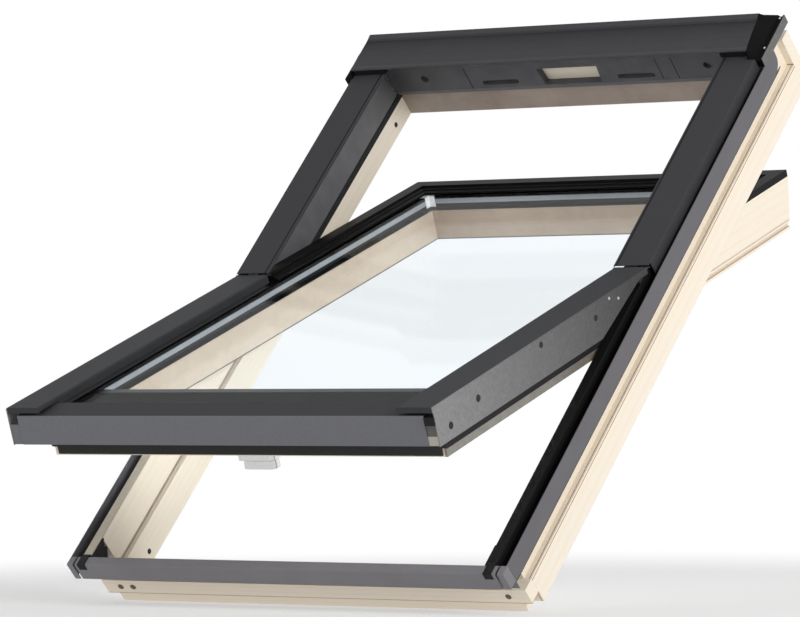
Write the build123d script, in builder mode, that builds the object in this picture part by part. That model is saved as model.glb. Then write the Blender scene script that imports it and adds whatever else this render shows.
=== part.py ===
from build123d import *
import os
from math import cos, radians, sin

# A centre-pivot roof window, half open, pitched as it sits in the roof.
# Window coordinates: x across, y up the slope, z out of the roof, with the
# pivot axis as the origin. Sash coordinates are the same, turned by the opening.

# Driving dimensions, in millimetres and degrees
roof_pitch = 45
opening = 25.8
widest_opening = 60

frame_width = 660
frame_length = 978
jamb_width = 24
wood_back = 101
ledge_depth = 60
neck_width = 13.5
head_depth = 38
sill_depth = 49
lap_depth = 20
head_drop = 15
sheet = 1.1
cladding_overhang = 8
nose_reach = 28
nose_width = 15
wall_drop = 27
wall_stop = 57
gutter_depth = 38.6
cover_height = 13
cover_width = 53
cover_inset = 2
flange_drop = 50.4
hood_depth = 97.6
hood_front_height = 22
hood_crease_height = 16
hood_back_height = 18
crease_setback = 21
sash_gap = 4
rail_width = 40
top_rail_width = 36
bottom_rail_width = 70
sash_drop = 8
sash_foot = 11
sash_head = 62
head_slant = 18
glass_unit = 24
pane = 4
glass_edge = 9
sight_line = 5
spacer_width = 12
bed = 1.5
pane_step = 18
front_overhang = 37
front_height = 38.5
front_inset = 16
lip_setback = 40
lip_height = 6
pin_radius = 6
pin_clearance = 0.05
boss_radius = 11
handle_offset = -10
case_shift = 14
case_width = 56
case_length = 24
case_depth = 24
bolt_travel = 12

# Named clearances
running_gap = 0.4
seat_gap = 0.3
rest_gap = 4

# Sizes worked out from them
mid = sheet / 2
half_width = frame_width / 2
half_length = frame_length / 2
half_clear = half_width - jamb_width
neck_outer = half_clear + neck_width
wall_outer = half_width + cladding_overhang
wall_inner = wall_outer - sheet
nose_front = -half_length - nose_reach
nose_back = nose_front + nose_width
head_inner = half_length - head_depth
sill_inner = sill_depth - half_length
jamb_end = half_length - lap_depth
wall_end = half_length - wall_stop
neck_top = -sheet
cover_outer = half_width - cover_inset
cover_inner = cover_outer - cover_width
cover_under = cover_height - sheet
hood_front = half_length - hood_depth
sash_half = half_clear - sash_gap
sash_bottom = half_length - sash_foot
sash_top = half_length - sash_head
stile_inner = sash_half - rail_width
sash_thickness = ledge_depth + sash_drop
glass_half = sash_half - glass_edge
spacer_inner = stile_inner + sight_line
spacer_outer = spacer_inner + spacer_width
rebate_depth = glass_unit + bed
front_reach = half_length + front_overhang
front_half_width = cover_outer - front_inset
lip_reach = front_reach - lip_setback
sill_rest = sash_thickness + rest_gap
roll_angle = 25

roof = Location((0, 0, 0), (roof_pitch, 0, 0))
sash = roof * Location((0, 0, 0), (-opening, 0, 0))
sides = ((1, "right"), (-1, "left"))


def across(place, x):
    """A plane that cuts across the window's width, with (y, z) as its axes."""
    return Plane(place * Plane.YZ.offset(x).location)


def along(place, y):
    """A plane square to the slope, with (x, z) as its axes."""
    return Plane(place * Plane.XZ.offset(-y).location)


def facing(place, z):
    """A plane parallel to the glass, with (x, y) as its axes."""
    return Plane(place * Plane.XY.offset(z).location)


def outline(points):
    Polygon(*points, align=None)


def box_outline(low, high):
    outline([low, (high[0], low[1]), high, (low[0], high[1])])


def bent_sheet(points, radius, thickness=sheet):
    with BuildLine(mode=Mode.PRIVATE) as path:
        FilletPolyline(*points, radius=radius)
    trace(path.line, line_width=thickness)


def handed(side, points):
    return [(side * x, z) for x, z in points]


def write(piece, label):
    piece.part.label = label
    export_step(piece.part, f"parts/{label}.step")


os.makedirs("parts", exist_ok=True)

# Frame jambs, with the neck that carries the cladding and a pocket for the pivot
groove_top = -48
groove_bottom = -57
groove_depth = 6
housing_half = 28
housing_depth = 27
pocket_outer = neck_outer - 1.5
arris = 0.6
bead_near = 2.4
bead_mid = 3
bead_far = 3.6
bead_cut = 0.8
for side, hand in sides:
    with BuildPart() as jamb:
        with BuildSketch(along(roof, jamb_end)):
            outline(
                handed(
                    side,
                    [
                        (half_clear, -wood_back),
                        (half_width, -wood_back),
                        (half_width, -ledge_depth - bead_far),
                        (half_width - bead_cut, -ledge_depth - bead_mid),
                        (half_width, -ledge_depth - bead_near),
                        (half_width, -ledge_depth),
                        (half_width - bead_near, -ledge_depth),
                        (half_width - bead_mid, -ledge_depth - bead_cut),
                        (half_width - bead_far, -ledge_depth),
                        (neck_outer, -ledge_depth),
                        (neck_outer, neck_top - arris),
                        (neck_outer - arris, neck_top),
                        (half_clear, neck_top),
                    ],
                )
            )
        extrude(amount=2 * jamb_end)
        with BuildSketch(along(roof, 0)):
            box_outline(
                (side * (half_clear - 1), groove_bottom),
                (side * (half_clear + groove_depth), groove_top),
            )
        extrude(amount=jamb_end + 1, mode=Mode.SUBTRACT)
        with BuildSketch(along(roof, housing_half + seat_gap)):
            box_outline(
                (side * (half_clear - 1), -housing_depth - seat_gap),
                (side * (pocket_outer + seat_gap), 1),
            )
        extrude(amount=2 * (housing_half + seat_gap), mode=Mode.SUBTRACT)
    write(jamb, f"frame_jamb_{hand}")

# Head and sill, lapped over the jambs' ends
bracket_foot = 5
with BuildPart() as head:
    with BuildSketch(facing(roof, -wood_back)):
        box_outline((-half_width, jamb_end), (half_width, half_length))
    extrude(amount=wood_back - head_drop)
    with BuildSketch(facing(roof, -wood_back)):
        box_outline((-half_clear, head_inner), (half_clear, jamb_end))
    extrude(amount=wood_back - bracket_foot)
write(head, "frame_head")

sill_groove = 84
sill_inset = 15
sill_setback = 2.5
sill_lip = 5.5
keep_drop = 11
with BuildPart() as sill:
    with BuildSketch(facing(roof, -sill_groove)):
        box_outline((-half_width, -half_length), (half_width, -jamb_end))
        box_outline((-half_clear, -jamb_end), (half_clear, sill_inner))
    extrude(amount=sill_groove - ledge_depth)
    with BuildSketch(facing(roof, -wood_back)):
        box_outline(
            (sill_inset - half_width, sill_setback - half_length),
            (half_width - sill_inset, -jamb_end),
        )
        box_outline((-half_clear, -jamb_end), (half_clear, sill_inner))
    extrude(amount=wood_back - sill_groove)
    with BuildSketch(facing(roof, -sill_rest)):
        box_outline(
            (-half_clear, sill_lip - half_length), (half_clear, sill_inner + 1)
        )
    extrude(amount=sill_rest - ledge_depth + 1, mode=Mode.SUBTRACT)
    with BuildSketch(facing(roof, -sill_rest - keep_drop)):
        box_outline(
            (handle_offset - 12, sill_inner - bolt_travel - 4),
            (handle_offset + 12, sill_inner + 1),
        )
    extrude(amount=6, mode=Mode.SUBTRACT)
write(sill, "frame_sill")

# Side gutters: the outer wall, the sloped floor and the leg over the wood
slot_outer = cover_outer + 1.2
slot_inner = cover_outer - sheet - 1.2
corner_round = 18
clip_drop = 14
clip_prong = 2.4
clip_outer = slot_inner - 0.6
for side, hand in sides:
    with BuildPart() as gutter:
        with BuildSketch(along(roof, wall_end)):
            bent_sheet(
                handed(
                    side,
                    [
                        (half_clear + mid, -mid),
                        (neck_outer + mid, -mid),
                        (neck_outer + mid, -gutter_depth - mid),
                        (slot_outer, -gutter_depth - mid),
                        (wall_outer - mid, -wall_drop - mid),
                        (wall_outer - mid, 0),
                    ],
                ),
                0.9,
            )
        extrude(amount=wall_end - nose_back - running_gap)
        with BuildSketch(across(roof, side * (wall_inner - 1))):
            box_outline(
                (wall_end - corner_round, -wall_drop - 2),
                (wall_end + 1, corner_round - wall_drop),
            )
            with Locations((wall_end - corner_round, corner_round - wall_drop)):
                Circle(corner_round, mode=Mode.SUBTRACT)
        extrude(amount=side * (sheet + 2), mode=Mode.SUBTRACT)
        with BuildSketch(along(roof, nose_back + clip_prong + 2 * seat_gap)):
            box_outline(
                (side * (half_clear - 1), -clip_drop - seat_gap),
                (side * (clip_outer + seat_gap), 1),
            )
        extrude(amount=clip_prong + 1, mode=Mode.SUBTRACT)
        with BuildSketch(along(roof, boss_radius + 1)):
            box_outline(
                (side * (half_clear - 1), -sheet - 1), (side * (pocket_outer + 1), 1)
            )
        extrude(amount=2 * (boss_radius + 1), mode=Mode.SUBTRACT)
    write(gutter, f"gutter_{hand}")

# Sill cladding: a nose across the full width and an apron over the sill
apron_step = half_length - 3.6
rest_step = half_length - sill_lip - mid - 0.1
nose_leg = gutter_depth + 2.6
with BuildPart() as sill_cladding:
    with BuildSketch(across(roof, -wall_outer)):
        bent_sheet(
            [
                (nose_front + mid, -wall_drop),
                (nose_front + mid, -mid),
                (nose_back - mid, -mid),
                (nose_back - mid, -gutter_depth - 2),
            ],
            1.6,
        )
    extrude(amount=2 * wall_outer)
    with BuildSketch(across(roof, -half_clear + 0.5)):
        bent_sheet(
            [
                (nose_back - mid, -gutter_depth),
                (nose_back - mid, -nose_leg),
                (-apron_step, -nose_leg),
                (-apron_step, -ledge_depth + mid),
                (-rest_step, -ledge_depth + mid),
                (-rest_step, -sill_rest + mid),
                (sill_inner - 12, -sill_rest + mid),
            ],
            0.6,
        )
    extrude(amount=2 * half_clear - 1)
    with BuildSketch(facing(roof, -wall_drop)):
        box_outline((wall_inner, nose_front + mid), (wall_outer, nose_back))
        box_outline((-wall_outer, nose_front + mid), (-wall_inner, nose_back))
    extrude(amount=wall_drop)
    with BuildSketch(facing(roof, -gutter_depth)):
        box_outline((slot_inner, nose_front - 1), (slot_outer, nose_back + 1))
        box_outline((-slot_outer, nose_front - 1), (-slot_inner, nose_back + 1))
    extrude(amount=gutter_depth + 1, mode=Mode.SUBTRACT)
write(sill_cladding, "sill_cladding")

# Black plastic corner pieces that cap the jambs' lower ends
clip_skin = 0.9
clip_inner = half_clear + 2
for side, hand in sides:
    with BuildPart() as corner:
        with BuildSketch(facing(roof, -ledge_depth + seat_gap)):
            box_outline(
                (side * (half_clear + 0.2), nose_back + seat_gap),
                (side * (neck_outer - 0.2), -jamb_end - seat_gap),
            )
        extrude(amount=ledge_depth - seat_gap - sheet - seat_gap)
        with BuildSketch(across(roof, side * clip_inner)):
            outline(
                [
                    (nose_back + seat_gap + clip_prong, -clip_drop),
                    (nose_back + seat_gap + clip_prong, clip_skin),
                    (nose_front - clip_skin, clip_skin),
                    (nose_front - clip_skin, -clip_drop),
                    (nose_front, -clip_drop),
                    (nose_front, 0),
                    (nose_back + seat_gap, 0),
                    (nose_back + seat_gap, -clip_drop),
                ]
            )
        extrude(amount=side * (clip_outer - clip_inner))
    write(corner, f"corner_piece_{hand}")

# Vent bar under the head, with its row of slots
bar_depth = 11
bar_front = head_inner - bar_depth
bar_top = -5
bar_bottom = -60
bar_chamfer = 9
bar_gap = 3
slot_row = -41
slot_length = 60
line_width = 2
with BuildPart() as vent_bar:
    with BuildSketch(across(roof, bar_gap - half_clear)):
        outline(
            [
                (head_inner, bar_bottom),
                (bar_front + bar_chamfer / 2, bar_bottom),
                (bar_front, bar_bottom + bar_chamfer),
                (bar_front, bar_top),
                (head_inner, bar_top),
            ]
        )
    extrude(amount=2 * (half_clear - bar_gap))
    with BuildSketch(along(roof, head_inner + 1)):
        with Locations((-120, slot_row), (102, slot_row)):
            SlotOverall(slot_length, 8)
        with Locations((-3, -34.5)):
            Trapezoid(98, 29, 96)
    extrude(amount=bar_depth + 2, mode=Mode.SUBTRACT)
    with BuildSketch(along(roof, bar_front + 7)):
        with Locations((-242, -28.5), (220, -28.5)):
            Circle(6)
    extrude(amount=8, mode=Mode.SUBTRACT)
    with BuildSketch(along(roof, bar_front + 1.2)):
        with Locations((-170, -31), (143, -31), (168, -31)):
            Rectangle(line_width, 38)
    extrude(amount=2, mode=Mode.SUBTRACT)
write(vent_bar, "head_vent_bar")

# Fixed side covers over the upper half
cover_start = (cover_height - cover_under * cos(radians(widest_opening))) / sin(
    radians(widest_opening)
) + running_gap
cover_end = head_inner - 6
leg_start = cover_height + running_gap + 0.6
for side, hand in sides:
    with BuildPart() as cover:
        with BuildSketch(along(roof, cover_end)):
            bent_sheet(
                handed(
                    side,
                    [
                        (cover_inner + mid, cover_under - 1.4),
                        (cover_inner + mid, cover_height - mid),
                        (cover_outer - mid, cover_height - mid),
                        (cover_outer - mid, -8),
                    ],
                ),
                0.9,
            )
        extrude(amount=cover_end - cover_start)
        with BuildSketch(along(roof, leg_start)):
            box_outline(
                (side * (cover_outer - 3), -9), (side * (cover_outer + 1), cover_under)
            )
        extrude(amount=leg_start - cover_start + 1, mode=Mode.SUBTRACT)
    write(cover, f"upper_cover_{hand}")

# Clips that carry the fixed covers on the necks
clip_rows = (60, 240, 430)
clip_length = 26
for side, hand in sides:
    with BuildPart() as clips:
        for row in clip_rows:
            with BuildSketch(along(roof, row + clip_length / 2)):
                outline(
                    handed(
                        side,
                        [
                            (half_clear + 2, 0),
                            (neck_outer - 1, 0),
                            (neck_outer - 3, cover_under),
                            (half_clear + 4, cover_under),
                        ],
                    )
                )
            extrude(amount=clip_length)
    write(clips, f"frame_clips_{hand}")

# Hood over the head: a bead along its front edge, a crease near the back
bead_radius = 2.6
bead_line = hood_front + bead_radius
crease = half_length - crease_setback
hood_back = half_length - mid
hood_left = (cover_outer - 2.5, half_width + 5.5)
hood_right = (cover_outer - 11, cover_outer - 31)
with BuildPart() as hood:
    with BuildSketch(across(roof, -wall_outer)):
        bent_sheet(
            [
                (bead_line, hood_front_height),
                (bead_line + 3, hood_front_height + 2),
                (crease, hood_crease_height),
                (crease + 2, hood_back_height),
                (hood_back, hood_back_height),
                (hood_back, -head_drop),
            ],
            1,
        )
        with Locations((bead_line, hood_front_height)):
            Circle(bead_radius)
    extrude(amount=2 * wall_outer)
    with BuildSketch(facing(roof, -head_drop - 1)):
        outline(
            [
                (-hood_left[0], hood_front - 1),
                (hood_right[0], hood_front - 1),
                (hood_right[1], half_length + 1),
                (-hood_left[1], half_length + 1),
            ]
        )
    extrude(amount=60, mode=Mode.INTERSECT)
write(hood, "hood")

# Foam strip that closes the gap under the hood's front edge
strip_width = 5
with BuildPart() as hood_strip:
    with BuildSketch(along(roof, bead_line + strip_width / 2)):
        box_outline(
            (-hood_left[0] + 1, cover_height),
            (hood_right[0] - 3, hood_front_height - bead_radius),
        )
    extrude(amount=strip_width)
write(hood_strip, "hood_strip")

# Brackets that carry the hood on the head
bracket_width = 30
bracket_back = jamb_end - 2
bracket_front = jamb_end - 16
with BuildPart() as brackets:
    for place in (-0.72, 0, 0.72):
        with BuildSketch(across(roof, place * half_width - bracket_width / 2)):
            box_outline((bracket_front, -bracket_foot), (bracket_back, hood_crease_height - mid))
        extrude(amount=bracket_width)
write(brackets, "hood_brackets")

# Black end caps of the hood, hipped down to the outer walls
cap_outer = wall_outer + 0.6
cap_edge = 13.6
cap_front = hood_front + 8
cap_back = hood_back - mid - seat_gap
cap_rows = (
    (cap_front, 0.05, hood_front_height + 2),
    (crease, 0.78, hood_crease_height + mid),
    (cap_back, 1, hood_back_height + mid),
)
for side, hand in sides:
    near, far = hood_right if side == 1 else hood_left
    with BuildPart() as cap:
        for row, share, top in cap_rows:
            edge = near + (far - near) * share + 0.6
            with BuildSketch(along(roof, row)):
                outline(
                    handed(
                        side,
                        [
                            (cover_outer + seat_gap, 0),
                            (cap_outer, 0),
                            (cap_outer, cap_edge),
                            (edge, top),
                            (edge, cover_height),
                            (cover_outer + seat_gap, cover_height),
                        ],
                    )
                )
        loft(ruled=True)
    write(cap, f"hood_end_{hand}")

# Grey profiles and gaskets on the upper half's inner walls
profile_reach = 2.5
profile_start = 24
gasket_reach = 2.2
for side, hand in sides:
    with BuildPart() as profile:
        with BuildSketch(across(roof, side * half_clear)):
            with BuildLine():
                Line((profile_start + 40, -14), (bar_front - 1, -14))
                Line((bar_front - 1, -14), (bar_front - 1, groove_bottom + 0.5))
                Line((bar_front - 1, groove_bottom + 0.5), (profile_start, groove_bottom + 0.5))
                Spline(
                    (profile_start, groove_bottom + 0.5),
                    (profile_start + 6, -36),
                    (profile_start + 40, -14),
                    tangents=((0, 1), (1, 0.2)),
                )
            make_face()
        extrude(amount=-side * profile_reach)
    write(profile, f"inner_profile_{hand}")
    with BuildPart() as seal:
        with BuildSketch(along(roof, head_inner - 0.5)):
            outline(
                handed(
                    side,
                    [
                        (half_clear, groove_bottom),
                        (half_clear - gasket_reach, groove_bottom - 2),
                        (half_clear - gasket_reach, groove_bottom - 10),
                        (half_clear, groove_bottom - 12),
                    ],
                )
            )
        extrude(amount=head_inner - 0.5 - profile_start)
    write(seal, f"frame_gasket_{hand}")

# Pivot housings in the jambs, each a block with a round bearing eye
for side, hand in sides:
    with BuildPart() as housing:
        with BuildSketch(across(roof, side * (half_clear + seat_gap))):
            with Locations((0, -housing_depth / 2 - sheet / 2)):
                Rectangle(2 * housing_half, housing_depth - sheet)
            Circle(boss_radius)
            Circle(pin_radius + pin_clearance, mode=Mode.SUBTRACT)
        extrude(amount=side * (pocket_outer - half_clear - seat_gap))
    write(housing, f"pivot_housing_{hand}")

# Keep plate on the sill and screws in the frame
keep_thickness = 1.5
with BuildPart() as keep:
    with BuildSketch(along(roof, sill_inner + keep_thickness)):
        with Locations((handle_offset, -sill_rest - 14)):
            Rectangle(46, 26)
        with Locations((handle_offset, -sill_rest - keep_drop + 3)):
            Rectangle(22, 6, mode=Mode.SUBTRACT)
    extrude(amount=keep_thickness)
write(keep, "lock_keep")

screw_head = 4
screw_proud = 0.8
with BuildPart() as frame_screws:
    with BuildSketch(along(roof, -half_length)):
        with Locations((-half_width + 26, -72), (-half_width + 46, -72), (half_width - 30, -72)):
            Circle(screw_head)
    extrude(amount=screw_proud)
write(frame_screws, "sill_screws")

# Sash woodwork: two stiles and two rails, rebated for the glass unit
pocket_depth = 3
arm_half = 40
arm_depth = 28
for side, hand in sides:
    with BuildPart() as stile:
        with BuildSketch(along(sash, sash_top)):
            outline(
                handed(
                    side,
                    [
                        (stile_inner, -sash_thickness),
                        (sash_half, -sash_thickness),
                        (sash_half, 0),
                        (glass_half + 0.5, 0),
                        (glass_half + 0.5, -rebate_depth),
                        (stile_inner, -rebate_depth),
                    ],
                )
            )
        extrude(amount=sash_top + sash_bottom)
        with BuildSketch(along(sash, arm_half + seat_gap)):
            box_outline(
                (side * (sash_half - pocket_depth), -arm_depth - seat_gap),
                (side * (sash_half + 1), 1),
            )
        extrude(amount=2 * (arm_half + seat_gap), mode=Mode.SUBTRACT)
        with BuildSketch(along(sash, sash_top + 1)):
            box_outline((side * (sash_half - 1), -57), (side * (sash_half + 1), -55))
            box_outline((side * (sash_half - 3), -65), (side * (sash_half + 1), -60))
        extrude(amount=sash_top + 1 - arm_half, mode=Mode.SUBTRACT)
        with BuildSketch(across(sash, side * (stile_inner - 1))):
            outline(
                [
                    (sash_top, 0),
                    (sash_top + 1, 0),
                    (sash_top + 1, -sash_thickness - 1),
                    (sash_top - head_slant, -sash_thickness - 1),
                    (sash_top - head_slant, -sash_thickness),
                ]
            )
        extrude(amount=side * (rail_width + 2), mode=Mode.SUBTRACT)
    write(stile, f"sash_stile_{hand}")

rebate_low = sash_bottom - glass_edge
rebate_high = sash_top - glass_edge
top_rail_inner = sash_top - top_rail_width
bottom_rail_inner = sash_bottom - bottom_rail_width
with BuildPart() as top_rail:
    with BuildSketch(across(sash, -stile_inner)):
        outline(
            [
                (top_rail_inner, -sash_thickness),
                (sash_top - head_slant, -sash_thickness),
                (sash_top, 0),
                (rebate_high + 0.5, 0),
                (rebate_high + 0.5, -rebate_depth),
                (top_rail_inner, -rebate_depth),
            ]
        )
    extrude(amount=2 * stile_inner)
write(top_rail, "sash_top_rail")
with BuildPart() as bottom_rail:
    with BuildSketch(across(sash, -stile_inner)):
        box_outline((-sash_bottom, -sash_thickness), (-bottom_rail_inner, -rebate_depth))
    extrude(amount=2 * stile_inner)
write(bottom_rail, "sash_bottom_rail")

# Insulating glass unit: the outer pane steps down over the bottom rail
outer_pane_end = sash_bottom + pane_step
with BuildPart() as outer_pane:
    with BuildSketch(facing(sash, -pane)):
        box_outline((-glass_half, -outer_pane_end), (glass_half, rebate_high))
    extrude(amount=pane)
write(outer_pane, "outer_pane")
with BuildPart() as inner_pane:
    with BuildSketch(facing(sash, -glass_unit)):
        box_outline((-glass_half, -rebate_low), (glass_half, rebate_high))
    extrude(amount=pane)
write(inner_pane, "inner_pane")

spacer_high = top_rail_inner + sight_line
spacer_low = -bottom_rail_inner - sight_line
with BuildPart() as spacer:
    with BuildSketch(facing(sash, pane - glass_unit)):
        box_outline(
            (-spacer_outer, spacer_low - spacer_width),
            (spacer_outer, spacer_high + spacer_width),
        )
        with BuildSketch(mode=Mode.PRIVATE) as window:
            box_outline((-spacer_inner, spacer_low), (spacer_inner, spacer_high))
        add(window.sketch, mode=Mode.SUBTRACT)
    extrude(amount=glass_unit - 2 * pane)
write(spacer, "spacer")
with BuildPart() as edge_seal:
    with BuildSketch(facing(sash, pane - glass_unit)):
        box_outline((-glass_half, -rebate_low), (glass_half, rebate_high))
        with BuildSketch(mode=Mode.PRIVATE) as window:
            box_outline(
                (-spacer_outer, spacer_low - spacer_width),
                (spacer_outer, spacer_high + spacer_width),
            )
        add(window.sketch, mode=Mode.SUBTRACT)
    extrude(amount=glass_unit - 2 * pane)
write(edge_seal, "edge_seal")
with BuildPart() as glazing_bed:
    with BuildSketch(facing(sash, -rebate_depth)):
        box_outline((-glass_half, -rebate_low), (glass_half, rebate_high))
        with BuildSketch(mode=Mode.PRIVATE) as window:
            box_outline(
                (-stile_inner, -bottom_rail_inner), (stile_inner, top_rail_inner)
            )
        add(window.sketch, mode=Mode.SUBTRACT)
    extrude(amount=bed)
write(glazing_bed, "glazing_bed")

# Black glazing profiles over the upper half of the sash
profile_height = 9.5
profile_inner = cover_inner - 5
profile_low = 15
glazing_section = [
    (0, 0),
    (0, 2.2),
    (6, 4),
    (6, 5.5),
    (12, 6.5),
    (12, profile_height),
    (sash_half - profile_inner, profile_height),
    (sash_half - profile_inner, 0),
]
for side, hand in sides:
    with BuildPart() as side_profile:
        with BuildSketch(along(sash, sash_top)):
            outline([(side * (profile_inner + x), t) for x, t in glazing_section])
        extrude(amount=sash_top - profile_low)
        with BuildSketch(facing(sash, -1)):
            outline(
                handed(
                    side,
                    [
                        (profile_inner - 10, sash_top - sash_half + profile_inner - 10),
                        (sash_half, sash_top),
                        (sash_half, profile_low - 1),
                        (profile_inner - 10, profile_low - 1),
                    ],
                )
            )
        extrude(amount=profile_height + 2, mode=Mode.INTERSECT)
    write(side_profile, f"side_profile_{hand}")
with BuildPart() as top_profile:
    with BuildSketch(across(sash, -sash_half)):
        outline([(sash_top - sash_half + profile_inner + s, t) for s, t in glazing_section])
    extrude(amount=2 * sash_half)
    with BuildSketch(facing(sash, -1)):
        outline(
            [
                (-sash_half + 0.2, sash_top),
                (sash_half - 0.2, sash_top),
                (profile_inner - 10.2, sash_top - sash_half + profile_inner - 10),
                (-profile_inner + 10.2, sash_top - sash_half + profile_inner - 10),
            ]
        )
    extrude(amount=profile_height + 2, mode=Mode.INTERSECT)
write(top_profile, "top_profile")

# Side covers of the lower half, with a rolled end round the pivot
front_end = front_reach - 0.5
flange_end = 3
flange_step = 25
flange_slant = 137
seal_height = 1
flange_bottom = cover_height - flange_drop
for side, hand in sides:
    with BuildPart() as lower_cover:
        with BuildSketch(along(sash, 0)):
            bent_sheet(
                handed(
                    side,
                    [
                        (cover_inner + mid, seal_height + 0.2),
                        (cover_inner + mid, cover_height - mid),
                        (cover_outer - mid, cover_height - mid),
                        (cover_outer - mid, flange_bottom),
                    ],
                ),
                2.4,
            )
        extrude(amount=front_end)
        with BuildSketch(across(sash, side * (cover_outer - 4))):
            outline(
                [
                    (-flange_end, cover_under - 1),
                    (-flange_end, 5),
                    (-flange_step, 5),
                    (-flange_slant, flange_bottom - 1),
                    (30, flange_bottom - 1),
                    (30, cover_under - 1),
                ]
            )
        extrude(amount=side * 8, mode=Mode.SUBTRACT)
        with BuildSketch(facing(sash, 0)):
            box_outline(
                (side * (cover_inner - 1), -front_reach - 1),
                (side * (front_half_width + 1), -lip_reach + 2.5),
            )
        extrude(amount=lip_height + 1, mode=Mode.SUBTRACT)
        with BuildSketch(along(sash, sheet - front_end)):
            box_outline((side * cover_inner, 5.5), (side * (cover_outer - mid), cover_under))
        extrude(amount=sheet)
        with BuildSketch(across(sash, side * cover_inner)):
            with BuildLine():
                CenterArc((0, 0), cover_height - mid, 90 - roll_angle, roll_angle)
            trace(line_width=sheet)
        extrude(amount=side * (cover_outer - cover_inner))
    write(lower_cover, f"lower_cover_{hand}")
    with BuildPart() as cover_seal:
        with BuildSketch(along(sash, -14)):
            outline(
                handed(
                    side,
                    [
                        (cover_inner - 8, 0),
                        (cover_inner - 7, seal_height),
                        (cover_inner - 1, seal_height + 1),
                        (cover_inner - 0.1, seal_height + 1),
                        (cover_inner - 0.1, seal_height),
                        (cover_inner + 8, seal_height),
                        (cover_inner + 8, 0),
                    ],
                )
            )
        extrude(amount=sash_bottom - 14)
    write(cover_seal, f"glazing_seal_{hand}")
    with BuildPart() as clips:
        for row in (-60, -240, -420):
            with BuildSketch(along(sash, row + clip_length / 2)):
                box_outline(
                    (side * (glass_half + 1), 0), (side * (sash_half - 0.5), cover_under)
                )
            extrude(amount=clip_length)
    write(clips, f"sash_clips_{hand}")

# Bottom cover, its drip rail and the end blocks
with BuildPart() as bottom_cover:
    with BuildSketch(across(sash, -front_half_width)):
        bent_sheet(
            [
                (-lip_reach, 0.8),
                (-lip_reach - 2, lip_height),
                (-front_reach + mid, 2 - mid),
                (-front_reach + mid, 2 - front_height),
                (-front_reach + 6, 2 - front_height),
            ],
            0.9,
        )
    extrude(amount=2 * front_half_width)
    with BuildSketch(facing(sash, -front_height - 2)):
        box_outline(
            (-front_half_width, -front_reach - 1), (front_half_width, -lip_reach + 5)
        )
    extrude(amount=front_height + 12, mode=Mode.INTERSECT)
write(bottom_cover, "bottom_cover")

drip_front = -nose_back - 2.6
drip_foot = 34
drip_inset = 2
skirt = 2.5
skirt_top = 33
skirt_foot = 56
lip_top = 55
lip_foot = 66
lip_inset = 6
with BuildPart() as drip_rail:
    with BuildSketch(along(sash, -sash_bottom)):
        box_outline((drip_inset - sash_half, -drip_foot), (sash_half - drip_inset, -pane))
    extrude(amount=drip_front - sash_bottom)
    with BuildSketch(along(sash, -sash_bottom)):
        box_outline((-sash_half - skirt, -skirt_foot), (sash_half + skirt, -skirt_top))
        box_outline((lip_inset - sash_half, -lip_foot), (sash_half - lip_inset, -lip_top))
    extrude(amount=skirt)
write(drip_rail, "drip_rail")

block_thickness = 6
for side, hand in sides:
    with BuildPart() as end_block:
        with BuildSketch(along(sash, -front_reach + 1 + block_thickness)):
            outline(
                handed(
                    side,
                    [
                        (front_half_width + 0.3, -10),
                        (cover_outer - sheet - 0.2, -10),
                        (cover_outer - sheet - 0.2, 2 - front_height),
                        (front_half_width + 0.3, 2 - front_height),
                    ],
                )
            )
        extrude(amount=block_thickness)
    write(end_block, f"end_block_{hand}")

# Rubber seal round the outside of the sash
strip = 2.5
with BuildPart() as sash_gasket:
    for side, hand in sides:
        with BuildSketch(along(sash, -60)):
            outline(
                handed(
                    side,
                    [
                        (sash_half, -46),
                        (sash_half + strip, -48),
                        (sash_half + strip, -56),
                        (sash_half, -58),
                    ],
                )
            )
        extrude(amount=sash_bottom - 60)
write(sash_gasket, "sash_gasket")

# Pivot arms: a plate let into each stile, with the pin that turns in the housing
for side, hand in sides:
    with BuildPart() as arm:
        with BuildSketch(across(sash, side * (sash_half - pocket_depth))):
            with Locations((0, -arm_depth / 2)):
                Rectangle(2 * arm_half, arm_depth)
            Circle(boss_radius - 1)
        extrude(amount=side * pocket_depth)
        with BuildSketch(across(sash, side * (sash_half - pocket_depth))):
            Circle(pin_radius)
        extrude(amount=side * (pocket_depth + sash_gap + pocket_outer - half_clear - 0.5))
    write(arm, f"pivot_arm_{hand}")

# Screws on the side covers and rivets on their front tabs
with BuildPart() as cover_screws:
    for side, hand in sides:
        with BuildSketch(across(sash, side * cover_outer)):
            for back, t in ((31, -21), (98, -10.5), (253, 3.6), (385, -7)):
                with Locations((back - front_reach, t)):
                    SlotOverall(7, 4, rotation=90)
            with Locations((-103, 6), (-82, -1)):
                Circle(2)
        extrude(amount=side * 0.6)
write(cover_screws, "cover_screws")

# Lock: the case on the bottom rail, the bolt and the handle
case_front = -sill_inner - keep_thickness - 5.5
case_centre = handle_offset - case_shift
case_low = -sash_thickness - case_depth
bolt_half = 8
bolt_thick = 4
bolt_top = -sill_rest - keep_drop + 5
spindle_s = -case_front + case_length / 2
bolt_back = -case_front + case_length - 2
spindle_radius = 5
spindle_gap = 0.4
with BuildPart() as lock_case:
    with BuildSketch(facing(sash, case_low)):
        with Locations((case_centre, spindle_s)):
            RectangleRounded(case_width, case_length, 6)
    extrude(amount=case_depth)
    with BuildSketch(across(sash, handle_offset - bolt_half - seat_gap)):
        box_outline(
            (-case_front - 1, bolt_top - bolt_thick - seat_gap),
            (bolt_back + spindle_gap, bolt_top + seat_gap),
        )
    extrude(amount=2 * (bolt_half + seat_gap), mode=Mode.SUBTRACT)
    with BuildSketch(facing(sash, case_low - 1)):
        with Locations((handle_offset, spindle_s)):
            Circle(spindle_radius + spindle_gap / 4)
    extrude(amount=bolt_top - case_low, mode=Mode.SUBTRACT)
write(lock_case, "lock_case")

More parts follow.
